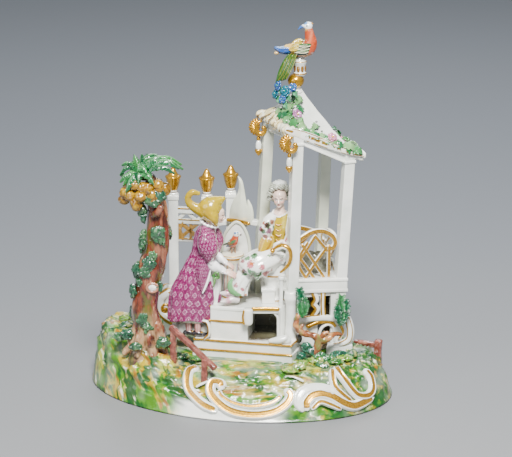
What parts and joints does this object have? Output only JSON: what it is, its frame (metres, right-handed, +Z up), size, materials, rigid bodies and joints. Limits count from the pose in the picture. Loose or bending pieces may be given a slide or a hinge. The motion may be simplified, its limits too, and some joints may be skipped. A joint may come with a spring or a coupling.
{
  "type": "porcelain figure group",
  "caption": "Glazed porcelain garden group: a standing and a seated figure with a parrot at a tall arbour, with a tree, steps and colonnade on an oval rocaille base.",
  "frame": {"origin": "centre of the underside's bounding box, on the surface it stands on", "axes": "+X along the show side from the tree's end to the arbour's end, +Y away from the viewer, +Z up"},
  "size_m": [0.3062, 0.2164, 0.3736],
  "materials": {
    "glazed_porcelain": "white clear-glazed porcelain, hand painted in enamel colours and gilt"
  },
  "bodies": {
    "root": {"figure_group": "glazed_porcelain"}
  },
  "joints": []
}
